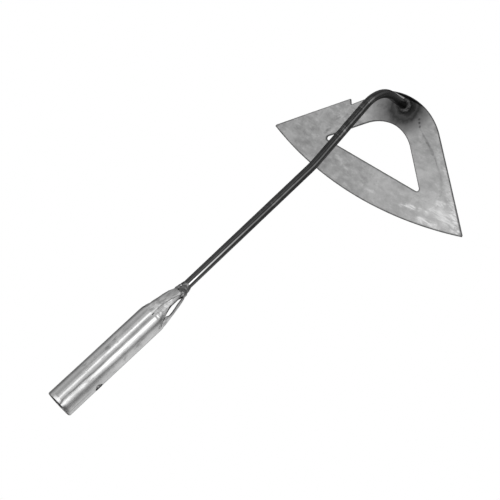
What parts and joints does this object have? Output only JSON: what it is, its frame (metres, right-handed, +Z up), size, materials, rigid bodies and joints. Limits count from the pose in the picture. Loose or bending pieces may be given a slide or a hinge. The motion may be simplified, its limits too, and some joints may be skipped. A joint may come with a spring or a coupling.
{
  "type": "hollow hoe head",
  "caption": "Fixed hollow weeding hoe head: thin triangular blade with a window, welded to a bent round bar that ends in a round tube socket for a pole handle.",
  "frame": {"origin": "centre of the socket's mouth, on the axis of the handle bore", "axes": "+X along the socket from its mouth towards the blade, +Z up with the blade hanging below the bar, +Y towards the blade ear that carries the step"},
  "size_m": [0.4394, 0.252, 0.091],
  "materials": {
    "plate_steel": "bare cold-rolled plate, dull satin with handling marks and a dark heat stain round the weld",
    "mill_scale_steel": "dark mill scale, semi-gloss, faint lengthwise streaks",
    "galvanised_steel": "bright galvanised tube, glossy satin with lengthwise marks",
    "weld_metal": "lumpy weld bead, dark with bright specks"
  },
  "bodies": {
    "root": {"blade": "plate_steel", "shank": "mill_scale_steel", "socket": "galvanised_steel", "socket_weld": "weld_metal", "blade_weld": "weld_metal"}
  },
  "joints": []
}
